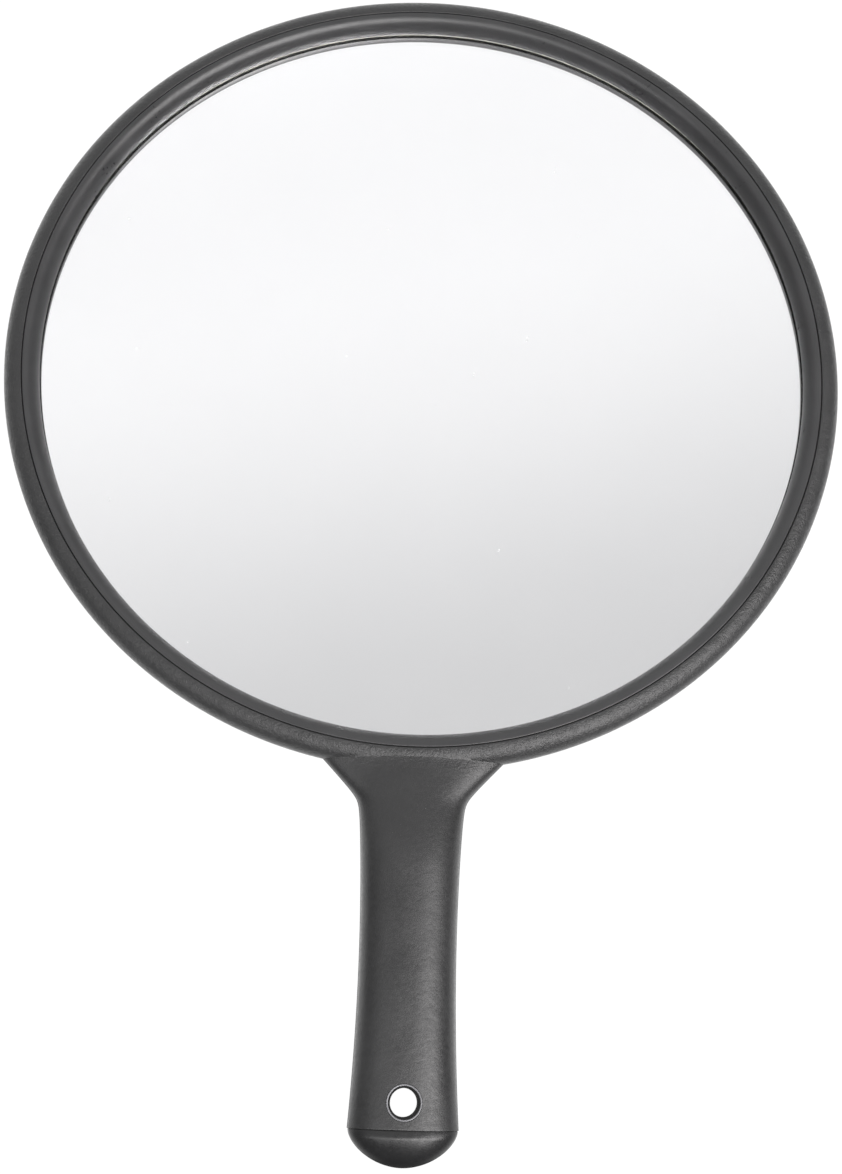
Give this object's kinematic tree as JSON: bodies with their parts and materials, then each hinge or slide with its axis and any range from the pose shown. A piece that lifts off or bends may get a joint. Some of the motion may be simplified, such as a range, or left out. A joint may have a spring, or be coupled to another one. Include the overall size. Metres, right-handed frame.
{
  "type": "hand mirror",
  "caption": "Round salon hand mirror: black moulded frame with an oval hollow handle, snap-in bezel ring, plain glass and a hang hole near the domed end.",
  "frame": {"origin": "centre of the round head, on the flat outer face of its back", "axes": "+Z out of the mirror's face, +Y from the handle towards the top of the head, +X to the right seen from the front"},
  "size_m": [0.245, 0.3472, 0.015],
  "materials": {
    "frame_plastic": "satin black with a fine moulded texture",
    "bezel_plastic": "satin black, a little smoother than the frame",
    "glass": "clear float glass 1.5 mm thick",
    "silver": "mirror",
    "paint": "matt grey backing paint",
    "foam": "black closed-cell foam",
    "cap_plastic": "satin black",
    "eyelet_plastic": "smooth black"
  },
  "bodies": {
    "root": {"frame": "frame_plastic", "bezel_ring": "bezel_plastic", "mirror_glass": "glass", "silver_coat": "silver", "backing_paint": "paint", "cushion_pad": "foam", "end_cap": "cap_plastic", "hang_eyelet": "eyelet_plastic"}
  },
  "joints": []
}
